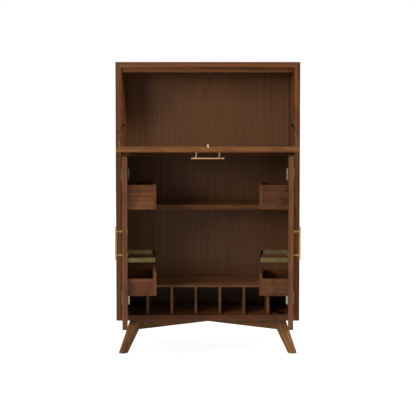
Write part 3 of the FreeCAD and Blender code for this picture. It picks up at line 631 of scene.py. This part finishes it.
class Work:
    """A mesh in the making, from its first shape to a dressed piece that rides on a body."""

    MERGE = 1e-6
    FLAT = math.radians(0.5)
    CORNER = math.radians(38.0)
    SHARP = math.radians(50.0)
    PITH_ASIDE = 0.35
    PITH_BEHIND = 0.12
    PITH_SWING = 0.05
    PITH_TURNS = (2.4, 1.7)
    PITH_STEP = 1.3
    made = 0

    def __init__(self) -> None:
        """Start an empty mesh with a layer that marks eased faces."""
        self.mesh = bmesh.new()
        self.layer = self.mesh.faces.layers.float.new(EASE_LAYER)

    @classmethod
    def copy_of(cls, node: str) -> "Work":
        """Start from a copy of a node's solid, with its flat faces made whole.

        Args:
            node: Name of the node.

        Returns:
            The new work.
        """
        work = cls()
        work.mesh.from_mesh(frame["nodes"][node].data)
        layers = work.mesh.faces.layers.float
        work.layer = layers.get(EASE_LAYER) or layers.new(EASE_LAYER)
        bmesh.ops.remove_doubles(work.mesh, verts=work.mesh.verts, dist=cls.MERGE)
        bmesh.ops.dissolve_limit(
            work.mesh, angle_limit=cls.FLAT, verts=work.mesh.verts, edges=work.mesh.edges
        )
        return work

    def round_corners(self, ease: Ease) -> None:
        """Round the outer corners.

        Args:
            ease: Rounding that they get.
        """
        corners = []
        for edge in self.mesh.edges:
            if edge.is_manifold and edge.is_convex and edge.calc_length() >= ease.shortest:
                if edge.calc_face_angle() > self.CORNER:
                    corners.append(edge)
        self.bevel(corners, ease)

    def round_foot(self, ease: Ease) -> None:
        """Round the rim of the lowest face.

        Args:
            ease: Rounding that it gets.
        """
        level = min(vertex.co.z for vertex in self.mesh.verts) + self.MERGE
        rim = [edge for edge in self.mesh.edges if max(end.co.z for end in edge.verts) < level]
        self.bevel(rim, ease)

    def bevel(self, edges: list[bmesh.types.BMEdge], ease: Ease) -> None:
        """Round some edges, and mark the new faces as eased.

        Args:
            edges: Edges to round.
            ease: Rounding that they get.
        """
        done = bmesh.ops.bevel(
            self.mesh,
            geom=edges,
            offset=ease.width,
            offset_type="OFFSET",
            affect="EDGES",
            segments=ease.strips,
            profile=0.5,
            clamp_overlap=True,
            material=-1,
        )
        for face in done["faces"]:
            face[self.layer] = 1.0

    def add(self, mesh: bmesh.types.BMesh, place: Matrix) -> None:
        """Take in another mesh, and use it up.

        Args:
            mesh: Mesh to take in.
            place: Turn and place that it gets.
        """
        bmesh.ops.transform(mesh, matrix=place, verts=mesh.verts)
        held = bpy.data.meshes.new("held")
        mesh.to_mesh(held)
        mesh.free()
        self.mesh.from_mesh(held)
        bpy.data.meshes.remove(held)

    def piece(self, name: str, body: str, slot: Slot, direction: Vector, replaces: str = "") -> None:
        """Turn the mesh into a dressed piece.

        Args:
            name: Name of the piece.
            body: Body that it rides on.
            slot: Finish that it takes.
            direction: Way that its grain or brushing runs.
            replaces: Node that it stands for, if any.
        """
        bmesh.ops.recalc_face_normals(self.mesh, faces=self.mesh.faces)
        for face in self.mesh.faces:
            face.smooth = True
        data = bpy.data.meshes.new(name)
        self.mesh.to_mesh(data)
        self.mesh.free()
        data.set_sharp_from_angle(angle=self.SHARP)
        made = stand(name, data)
        weighted = made.modifiers.new("flat_faces", "WEIGHTED_NORMAL")
        weighted.keep_sharp = True
        Work.made += 1
        data.materials.append(slot.value.material(name, direction, self.pith(Work.made)))
        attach(made, body)
        if replaces:
            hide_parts(replaces)
        LOG.info("%s rides on %s", name, body)

    @classmethod
    def pith(cls, number: int) -> tuple[float, float, float]:
        """Give each piece a place of its own in the log.

        Args:
            number: Number of the piece.

        Returns:
            The shift from the piece to the log's heart, in metres.
        """
        aside = cls.PITH_ASIDE * math.sin(cls.PITH_TURNS[0] * number)
        behind = cls.PITH_BEHIND + cls.PITH_SWING * math.cos(cls.PITH_TURNS[1] * number)
        return (aside, behind, cls.PITH_STEP * number)


def dress(node: str, slot: Slot, direction: Vector, ease: Ease) -> None:
    """Stand an eased and dressed copy in a node's place.

    Args:
        node: Name of the node.
        slot: Finish that it takes.
        direction: Way that its grain or brushing runs.
        ease: Rounding of its edges.
    """
    work = Work.copy_of(node)
    work.round_corners(ease)
    work.piece("eased_" + node, BODY_OF_NODE[node], slot, direction, node)


def box_of(points: Sequence[Vector]) -> tuple[Vector, ...]:
    """Find the lowest and the highest corner of some points."""
    return tuple(Vector(pick(axis) for axis in zip(*points)) for pick in (min, max))


def solids_of(node: str) -> list[tuple[Vector, ...]]:
    """Find the separate solids of a node.

    Args:
        node: Name of the node.

    Returns:
        The lowest and highest corner of each solid, from left to right.
    """
    mesh = Work.copy_of(node).mesh
    waiting = set(mesh.verts)
    boxes = []
    while waiting:
        front = [waiting.pop()]
        points = []
        while front:
            vertex = front.pop()
            points.append(vertex.co)
            for edge in vertex.link_edges:
                other = edge.other_vert(vertex)
                if other in waiting:
                    waiting.remove(other)
                    front.append(other)
        boxes.append(box_of(points))
    mesh.free()
    return sorted(boxes, key=lambda corners: tuple(corners[0]))


class Hand(Enum):
    """Side of the cabinet, with its sign along X."""

    LEFT = -1
    RIGHT = 1

    @property
    def word(self) -> str:
        """Give the side's name as the nodes use it."""
        return self.name.lower()

    def inner(self, corners: Sequence[Sequence[float]]) -> float:
        """Give the X of a box's face that looks into the cabinet."""
        return corners[self is Hand.LEFT][0]

    def outer(self, corners: Sequence[Sequence[float]]) -> float:
        """Give the X of a box's face that looks out of the cabinet."""
        return corners[self is Hand.RIGHT][0]


# Sub-assemblies


@dataclass(frozen=True)
class Screw:
    """Countersunk wood screw's head with a crossed recess, built standing on Z = 0."""

    radius: float = 2.8 * MM
    proud: float = 0.25 * MM
    recess_arm: float = 1.7 * MM
    recess_width: float = 0.8 * MM
    recess_depth: float = 0.9 * MM
    recess_taper: float = 0.7
    head_depth: float = 1.3 * MM
    head_taper: float = 0.75
    corners: int = 20

    def add_to(self, work: Work, place: Vector, facing: Vector) -> None:
        """Add one head to a work.

        Args:
            work: Work that it goes into.
            place: Middle of the head on the face that it holds.
            facing: Way that the head faces.
        """
        mesh = bmesh.new()
        bmesh.ops.create_circle(mesh, cap_ends=False, radius=self.radius, segments=self.corners)
        rim = list(mesh.edges)
        outline = self.recess_outline(mesh)
        bmesh.ops.triangle_fill(mesh, use_beauty=True, edges=rim + outline)
        self.sink(mesh, outline, self.recess_depth, self.recess_taper)
        self.sink(mesh, rim, self.head_depth, self.head_taper)
        bmesh.ops.translate(mesh, verts=mesh.verts, vec=(0.0, 0.0, self.proud))
        bmesh.ops.recalc_face_normals(mesh, faces=mesh.faces)
        turn = UP.rotation_difference(facing.normalized()).to_matrix().to_4x4()
        work.add(mesh, Matrix.Translation(place) @ turn)

    @staticmethod
    def sink(mesh: bmesh.types.BMesh, edges: list[bmesh.types.BMEdge], depth: float, taper: float) -> None:
        """Carry a closed outline down and close it.

        Args:
            mesh: Mesh of the head.
            edges: The outline.
            depth: How far down it goes.
            taper: Size of its end over the size of its start.
        """
        grown = bmesh.ops.extrude_edge_only(mesh, edges=edges)["geom"]
        low = {item for item in grown if isinstance(item, bmesh.types.BMVert)}
        bmesh.ops.translate(mesh, verts=list(low), vec=(0.0, 0.0, -depth))
        bmesh.ops.scale(mesh, verts=list(low), vec=(taper, taper, 1.0))
        closing = []
        for item in grown:
            if isinstance(item, bmesh.types.BMEdge) and low.issuperset(item.verts):
                closing.append(item)
        bmesh.ops.triangle_fill(mesh, use_beauty=True, edges=closing)

    def recess_outline(self, mesh: bmesh.types.BMesh) -> list[bmesh.types.BMEdge]:
        """Draw the outline of the crossed recess.

        Args:
            mesh: Mesh that it goes into.

        Returns:
            The edges of the outline.
        """
        arm = self.recess_arm
        half = self.recess_width / 2.0
        quarter = ((half, half), (half, arm), (-half, arm))
        points = []
        for turn in range(4):
            spun = Matrix.Rotation(turn * math.pi / 2.0, 3, "Z")
            points += [mesh.verts.new(spun @ Vector((x, y, 0.0))) for x, y in quarter]
        return [mesh.edges.new(ends) for ends in zip(points, points[1:] + points[:1])]


def pair(middle: Vector, step: Vector, facing: Vector) -> list[tuple[Vector, Vector]]:
    """Give the place and facing of two screw heads, a step to either side of a middle."""
    return [(middle - step, facing), (middle + step, facing)]


def screw_set(name: str, node: str, heads: list[tuple[Vector, Vector]], screw: Screw = Screw()) -> None:
    """Make one piece of several screw heads.

    Args:
        name: Name of the piece.
        node: Node that the screws hold, whose body they ride on.
        heads: Place and facing of each head.
        screw: Screw to use.
    """
    work = Work()
    for place, facing in heads:
        screw.add_to(work, place, facing)
    work.piece(name, BODY_OF_NODE[node], Slot.SCREW, UP)


@dataclass
class Carcass:
    """Mitred box, its back and its fixed boards."""

    board_ease: Ease = Ease(1.2 * MM, 3, 4.0 * MM)
    shelf_ease: Ease = Ease(0.9 * MM, 3, 4.0 * MM)
    back_ease: Ease = Ease(0.9 * MM)
    pin_ease: Ease = Ease(0.4 * MM)

    def build(self) -> None:
        """Dress the boards."""
        for hand in Hand:
            dress(hand.word + "_side_panel", Slot.CARCASS, UP, self.board_ease)
        for node in ("top_panel", "bottom_panel"):
            dress(node, Slot.CARCASS, ACROSS, self.board_ease)
        dress("back_panel", Slot.BACK, UP, self.back_ease)
        for node in ("deck", "deck_rail", "lid_stop_rail", "mid_shelf"):
            dress(node, Slot.CARCASS, ACROSS, self.shelf_ease)
        dress("cubby_shelf", Slot.RACK, ACROSS, self.shelf_ease)
        dress("wine_dividers", Slot.RACK, DEPTH, self.shelf_ease)
        dress("shelf_pins", Slot.SCREW, ACROSS, self.pin_ease)


@dataclass
class Base:
    """Splayed legs, aprons and the hardware that holds the legs."""

    foot_ease: Ease = Ease(4.5 * MM, 4)
    apron_ease: Ease = Ease(1.2 * MM, 3, 2.5 * MM)
    hardware_ease: Ease = Ease(0.6 * MM)
    cap_ease: Ease = Ease(1.0 * MM, 3)

    def build(self) -> None:
        """Dress the legs, the aprons and their hardware."""
        for end in ("front", "rear"):
            for hand in Hand:
                node = "%s_%s_leg" % (end, hand.word)
                work = Work.copy_of(node)
                work.round_foot(self.foot_ease)
                work.piece("eased_" + node, BODY_OF_NODE[node], Slot.LEG, self.lean(node), node)
            dress(end + "_apron", Slot.LEG, ACROSS, self.apron_ease)
        dress("foot_glides", Slot.PLASTIC, UP, self.hardware_ease)
        dress("leg_bolts", Slot.SCREW, UP, self.hardware_ease)
        dress("leg_bolt_caps", Slot.PLASTIC, UP, self.cap_ease)

    @staticmethod
    def lean(node: str) -> Vector:
        """Find the way that a leg leans, from its mesh.

        Args:
            node: Name of the leg.

        Returns:
            The direction from the middle of its foot to the middle of its top.
        """
        points = [vertex.co for vertex in frame["nodes"][node].data.vertices]
        ends = []
        for corner in box_of(points):
            low, high = box_of([point for point in points if abs(point.z - corner.z) < MM])
            ends.append((low + high) / 2.0)
        return ends[1] - ends[0]


@dataclass
class Lid:
    """Drop-front lid with its pull, hinges, strike and catch."""

    panel_ease: Ease = Ease(1.5 * MM, 3, 4.0 * MM)
    bar_ease: Ease = Ease(0.8 * MM, 3)
    bolt_ease: Ease = Ease(0.5 * MM)
    leaf_ease: Ease = Ease(0.35 * MM)
    pin_ease: Ease = Ease(0.3 * MM)
    strike_ease: Ease = Ease(0.8 * MM, 3)
    catch_ease: Ease = Ease(1.0 * MM, 3)
    leaf_thick: float = 1.5 * MM
    screw_spread: float = 15.0 * MM
    screw_inset: float = 7.0 * MM

    def build(self) -> None:
        """Dress the lid and what is fixed to it."""
        dress("lid_panel", Slot.LID, ACROSS, self.panel_ease)
        dress("lid_handle", Slot.HANDLE, ACROSS, self.bar_ease)
        dress("lid_handle_screws", Slot.SCREW_MATT, UP, self.bolt_ease)
        for node in ("lid_hinge_leaves", "lid_hinge_deck_leaves"):
            dress(node, Slot.HINGE_AGED, ACROSS, self.leaf_ease)
        dress("lid_hinge_pins", Slot.HINGE_AGED, ACROSS, self.pin_ease)
        dress("lid_strike", Slot.HINGE, UP, self.strike_ease)
        dress("lid_catch", Slot.CATCH, UP, self.catch_ease)
        self.screw_leaves("lid_hinge_leaves", 0, self.screw_inset)
        self.screw_leaves("lid_hinge_deck_leaves", 1, -self.screw_inset)

    def screw_leaves(self, node: str, end: int, inset: float) -> None:
        """Screw two hinge leaves down.

        Args:
            node: Name of the leaves.
            end: 0 where the leaves end towards the front, 1 where they end towards the back.
            inset: Distance of the screws from that end, along Y.
        """
        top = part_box("lid_panel")[1][2] + self.leaf_thick
        heads = []
        for corners in solids_of(node):
            across = (corners[0].x + corners[1].x) / 2.0
            middle = Vector((across, corners[end].y + inset, top))
            heads += pair(middle, ACROSS * self.screw_spread, UP)
        screw_set(node + "_screws", node, heads)


@dataclass
class Stays:
    """Two folding stays that hold the open lid level."""

    plates: str = "stay_wall_plates"
    brackets: str = "stay_lid_brackets"
    plate_ease: Ease = Ease(0.4 * MM)
    plate_thick: float = 2.0 * MM
    plate_spread: float = 19.0 * MM
    foot_spread: float = 14.0 * MM
    foot_inset: float = 7.0 * MM
    flush: float = 0.08 * MM
    cap_radius: float = 5.5 * MM
    cap_length: float = 6.0 * MM
    cap_corners: int = 32
    cap_ease: Ease = Ease(1.2 * MM, 3)

    def build(self) -> None:
        """Dress the plates, brackets and links."""
        dress(self.plates, Slot.STAY, UP, self.plate_ease)
        dress(self.brackets, Slot.STAY, DEPTH, self.plate_ease)
        for hand in Hand:
            for link in ("stay_wall_link", "stay_lid_link"):
                dress("%s_%s" % (hand.word, link), Slot.STAY, DEPTH, self.plate_ease)
        self.screw_plates()
        self.screw_feet()
        self.cap_pivots()

    def cap_pivots(self) -> None:
        """Put a round cap over each pivot on the walls."""
        work = Work()
        turn = Matrix.Rotation(math.pi / 2.0, 4, "Y")
        for hand, corners in zip(Hand, solids_of(self.plates)):
            name = hand.word + "_stay_wall_link"
            joint = next(joint for joint in frame["joints"] if joint["child"] == name)
            middle = hand.inner(corners) - hand.value * self.cap_length / 2.0
            mesh = bmesh.new()
            bmesh.ops.create_cone(
                mesh,
                cap_ends=True,
                segments=self.cap_corners,
                radius1=self.cap_radius,
                radius2=self.cap_radius,
                depth=self.cap_length,
            )
            place = Vector((middle, joint["pos_m"][1], joint["pos_m"][2]))
            work.add(mesh, Matrix.Translation(place) @ turn)
        work.round_corners(self.cap_ease)
        work.piece("stay_pivot_caps", BODY_OF_NODE[self.plates], Slot.PLASTIC, ACROSS)

    def screw_plates(self) -> None:
        """Screw the plates to the walls, flush because the links pass over them."""
        heads = []
        for hand, (low, high) in zip(Hand, solids_of(self.plates)):
            middle = (low + high) / 2.0
            middle.x = hand.outer((low, high)) - hand.value * self.plate_thick
            heads += pair(middle, UP * self.plate_spread, ACROSS * -hand.value)
        screw_set("stay_wall_plate_screws", self.plates, heads, Screw(proud=self.flush))

    def screw_feet(self) -> None:
        """Screw the feet of the brackets to the lid."""
        heads = []
        for hand, (low, high) in zip(Hand, solids_of(self.brackets)):
            across = hand.inner((low, high)) + hand.value * self.foot_inset
            middle = Vector((across, (low.y + high.y) / 2.0, low.z + self.plate_thick))
            heads += pair(middle, DEPTH * self.foot_spread, UP)
        screw_set("stay_lid_bracket_screws", self.brackets, heads)


@dataclass
class Door:
    """One door with its pull, hinges, bins and bottle rail."""

    hand: Hand
    panel_ease: Ease = Ease(1.5 * MM, 3, 4.0 * MM)
    bin_ease: Ease = Ease(0.8 * MM, 3)
    bottom_ease: Ease = Ease(0.8 * MM)
    bar_ease: Ease = Ease(0.8 * MM, 3)
    bolt_ease: Ease = Ease(0.5 * MM)
    rail_ease: Ease = Ease(0.5 * MM, 3)
    leaf_ease: Ease = Ease(0.35 * MM)
    strike_ease: Ease = Ease(0.3 * MM)
    wing_inset: float = 12.5 * MM
    wing_spread: float = 20.0 * MM
    cover_wide: float = 18.0 * MM
    cover_tall: float = 58.0 * MM
    cover_thick: float = 7.5 * MM
    cover_ease: Ease = Ease(1.3 * MM, 3)
    rail_thick: float = 3.0 * MM
    flange_inset: float = 11.0 * MM
    axis: Vector = field(init=False)
    across: Vector = field(init=False)
    outward: Vector = field(init=False)

    def __post_init__(self) -> None:
        """Read the door's axis, and the ways along it and out of its inner face, from its joint."""
        name = self.hand.word + "_door_hinge"
        joint = next(joint for joint in frame["joints"] if joint["name"] == name)
        opened = math.radians(joint["range_deg"][1])
        inward = -self.hand.value
        self.axis = Vector(joint["pos_m"])
        self.across = Vector((inward * math.cos(opened), -math.sin(opened), 0.0))
        self.outward = Vector((inward * math.sin(opened), math.cos(opened), 0.0))

    def build(self) -> None:
        """Dress the door and what is fixed to it."""
        side = self.hand.word + "_"
        leaves = side + "door_hinge_leaves"
        rail = side + "bottle_rail"
        dress(side + "door_panel", Slot.DOOR, UP, self.panel_ease)
        dress(side + "door_handle", Slot.HANDLE, UP, self.bar_ease)
        dress(side + "door_handle_screws", Slot.SCREW_MATT, UP, self.bolt_ease)
        dress(leaves, Slot.HINGE_AGED, UP, self.leaf_ease)
        dress(side + "door_strike", Slot.HINGE_AGED, UP, self.strike_ease)
        for level in ("upper", "lower"):
            dress("%s%s_bin_front" % (side, level), Slot.BIN, self.across, self.bin_ease)
            dress("%s%s_bin_ends" % (side, level), Slot.BIN, self.outward, self.bin_ease)
        dress(side + "bin_bottoms", Slot.BIN, self.across, self.bottom_ease)
        dress(rail, Slot.RAIL, self.across, self.rail_ease)
        self.cover_wings(leaves)
        self.screw_rail(rail)

    def reach(self, node: str, direction: Vector) -> tuple[float, float]:
        """Measure a node from the hinge's axis.

        Args:
            node: Name of the node.
            direction: Way to measure along.

        Returns:
            The least and the greatest distance.
        """
        points = (vertex.co - self.axis for vertex in frame["nodes"][node].data.vertices)
        distances = [point.dot(direction) for point in points]
        return min(distances), max(distances)

    def spot(self, across: float, out: float, height: float) -> Vector:
        """Find a point on the door's inner side.

        Args:
            across: Distance from the hinge's axis along the door.
            out: Distance from the axis out of the inner face.
            height: Height over the floor.

        Returns:
            The point.
        """
        place = self.axis + self.across * across + self.outward * out
        return Vector((place.x, place.y, height))

    def cover_wings(self, node: str) -> None:
        """Put a cover plate with two screws over each wing of the hinge leaves.

        Args:
            node: Name of the hinge leaves.
        """
        middle = self.reach(node, self.across)[1] - self.wing_inset
        face = self.reach(node, self.outward)[1]
        turn = Matrix((self.across, self.outward, UP)).transposed().to_4x4()
        size = (self.cover_wide, self.cover_thick, self.cover_tall)
        work = Work()
        heads = []
        for low, high in solids_of(node):
            height = (low.z + high.z) / 2.0
            mesh = bmesh.new()
            bmesh.ops.create_cube(mesh, size=1.0)
            bmesh.ops.scale(mesh, verts=mesh.verts, vec=size)
            place = self.spot(middle, face + self.cover_thick / 2.0, height)
            work.add(mesh, Matrix.Translation(place) @ turn)
            place = self.spot(middle, face + self.cover_thick, height)
            heads += pair(place, UP * self.wing_spread, self.outward)
        work.round_corners(self.cover_ease)
        work.piece(self.hand.word + "_hinge_covers", BODY_OF_NODE[node], Slot.HINGE, UP)
        screw_set(node + "_screws", node, heads)

    def screw_rail(self, node: str) -> None:
        """Screw the two turned-in ends of the bottle rail to the door.

        Args:
            node: Name of the rail.
        """
        near, far = self.reach(node, self.across)
        face = self.reach(node, self.outward)[0] + self.rail_thick
        low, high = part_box(node)
        place = self.spot((near + far) / 2.0, face, (low[2] + high[2]) / 2.0)
        step = self.across * ((far - near) / 2.0 - self.flange_inset)
        screw_set(node + "_screws", node, pair(place, step, self.outward))


@dataclass
class FrameHinges:
    """Hinge leaves, pins and catches that stay with the carcass."""

    leaf_ease: Ease = Ease(0.35 * MM)
    leaf_thick: float = 1.2 * MM
    leaf_inset: float = 12.0 * MM
    leaf_spread: float = 20.0 * MM
    pin_ease: Ease = Ease(0.4 * MM)
    catch_ease: Ease = Ease(1.0 * MM, 3)
    catch_spread: float = 13.0 * MM

    def build(self) -> None:
        """Dress the leaves, pins and catches."""
        dress("door_hinge_frame_leaves", Slot.HINGE_AGED, UP, self.leaf_ease)
        dress("door_hinge_pins", Slot.HINGE_AGED, UP, self.pin_ease)
        dress("door_catches", Slot.PLASTIC, ACROSS, self.catch_ease)
        self.screw_leaves("door_hinge_frame_leaves")
        self.screw_catches("door_catches")

    def screw_leaves(self, node: str) -> None:
        """Screw the leaves to the side panels.

        Args:
            node: Name of the leaves.
        """
        heads = []
        for low, high in solids_of(node):
            hand = Hand.LEFT if low.x < 0.0 else Hand.RIGHT
            wall = hand.inner(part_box(hand.word + "_side_panel"))
            face = wall - hand.value * self.leaf_thick
            middle = Vector((face, high.y - self.leaf_inset, (low.z + high.z) / 2.0))
            heads += pair(middle, UP * self.leaf_spread, ACROSS * -hand.value)
        screw_set(node + "_screws", node, heads)

    def screw_catches(self, node: str) -> None:
        """Screw the catches up under the deck rail.

        Args:
            node: Name of the catches.
        """
        heads = []
        for low, high in solids_of(node):
            middle = (low + high) / 2.0
            middle.z = low.z
            heads += pair(middle, ACROSS * self.catch_spread, -UP)
        screw_set(node + "_screws", node, heads)


# Studio


@dataclass
class Lamp:
    """A soft square lamp that looks at one point."""

    name: str
    azimuth: float
    elevation: float
    distance: float
    size: float
    level: float

    def build(self, target: Vector) -> None:
        """Hang the lamp.

        Args:
            target: Point that it looks at.
        """
        turn = math.radians(self.azimuth)
        rise = math.radians(self.elevation)
        way = Vector((math.sin(turn) * math.cos(rise), -math.cos(turn) * math.cos(rise), math.sin(rise)))
        light = bpy.data.lights.new(self.name, "AREA")
        light.shape = "SQUARE"
        light.size = self.size
        light.energy = self.level * (math.pi * self.distance) ** 2
        made = stand(self.name, light)
        made.location = target + way * self.distance
        made.rotation_euler = (-way).to_track_quat("-Z", "Y").to_euler()


@dataclass
class Studio:
    """White floor and background, soft lamps and the camera."""

    floor_half: float = 14.0
    floor_tone: Colour = (0.5, 0.5, 0.5, 1.0)
    floor_glow: float = 0.9
    ambient: float = 0.48
    room_tone: float = 0.25
    room_span: Span = (-0.7, 0.2)
    camera_place: tuple[float, float, float] = (0.0008, -5.6733, 1.1273)
    sensor: float = 36.0
    lens: float = 94.98
    tilt: float = 2.8
    shift_up: float = -0.06
    lit_point: tuple[float, float, float] = (0.0, -0.2, 1.1)
    lamps: tuple[Lamp, ...] = (
        Lamp("key_left", -36.0, 14.0, 2.9, 0.85, 0.25),
        Lamp("high_right", 63.0, 23.5, 2.6, 0.4, 0.6),
        Lamp("front_fill", -21.0, 6.0, 4.2, 0.6, 0.11),
        Lamp("low_fill", -4.0, -22.0, 2.3, 0.8, 0.025),
    )

    def build(self) -> None:
        """Set up the light, the floor and the camera."""
        bpy.context.scene.view_settings.view_transform = "Standard"
        self.build_world()
        self.build_floor()
        for lamp in self.lamps:
            lamp.build(Vector(self.lit_point))
        self.build_camera()

    @staticmethod
    def seen_directly(sheet: Sheet) -> Socket:
        """Tell camera, mirror and see-through rays from the rays that light the object.

        Args:
            sheet: Sheet of the world or of the floor.

        Returns:
            A socket that is 1 on the rays that see the background.
        """
        path = sheet.add("LightPath", {})
        mirrored = sheet.math("MAXIMUM", path["Is Glossy Ray"], path["Is Transmission Ray"])
        return sheet.math("MAXIMUM", mirrored, path["Is Camera Ray"])

    def build_world(self) -> None:
        """Make the background white where it is seen, the room before it dimmer, and a soft sky."""
        world = bpy.data.worlds.new("white_studio")
        world.use_nodes = True
        sheet = Sheet(world.node_tree)
        way = sheet.add("TexCoord", {})["Generated"]
        back = sheet.add("SeparateXYZ", {0: way})[1]
        room = sheet.span(back, self.room_span, (self.room_tone, 1.0))
        white = sheet.math("MAXIMUM", sheet.add("LightPath", {})["Is Camera Ray"], room)
        feeds = {0: self.seen_directly(sheet), 2: self.ambient, 3: white}
        strength = sheet.add("Mix", feeds, data_type="FLOAT")[0]
        sheet.feed(sheet.tree.nodes["Background"].inputs, {"Color": WHITE, "Strength": strength})
        bpy.context.scene.world = world

    def build_floor(self) -> None:
        """Lay a pale floor that is white to the camera and keeps a light shadow."""
        mesh = bmesh.new()
        bmesh.ops.create_grid(mesh, x_segments=1, y_segments=1, size=self.floor_half)
        data = bpy.data.meshes.new("studio_floor")
        mesh.to_mesh(data)
        mesh.free()
        floor = stand("studio_floor", data)
        surface = Surface("pale_floor")
        surface.feed(surface.shader, {
            "Base Color": self.floor_tone,
            "Roughness": 1.0,
            "Specular IOR Level": 0.0,
            "Emission Color": WHITE,
            "Emission Strength": surface.math("MULTIPLY", self.seen_directly(surface), self.floor_glow),
        })
        data.materials.append(surface.material)

    def build_camera(self) -> None:
        """Stand the camera where the photograph was taken."""
        lens = bpy.data.cameras.new("camera")
        lens.sensor_fit = "HORIZONTAL"
        lens.sensor_width = self.sensor
        lens.lens = self.lens
        lens.shift_y = self.shift_up
        camera = stand("camera", lens)
        camera.location = self.camera_place
        camera.rotation_euler = (math.radians(90.0 - self.tilt), 0.0, 0.0)
        bpy.context.scene.camera = camera


def main() -> None:
    """Build and dress every sub-assembly, then the studio."""
    logging.basicConfig(level=logging.INFO, format="%(name)s: %(message)s")
    Carcass().build()
    Base().build()
    FrameHinges().build()
    Lid().build()
    Stays().build()
    for hand in Hand:
        Door(hand).build()
    Studio().build()


if __name__ == "__main__":
    main()
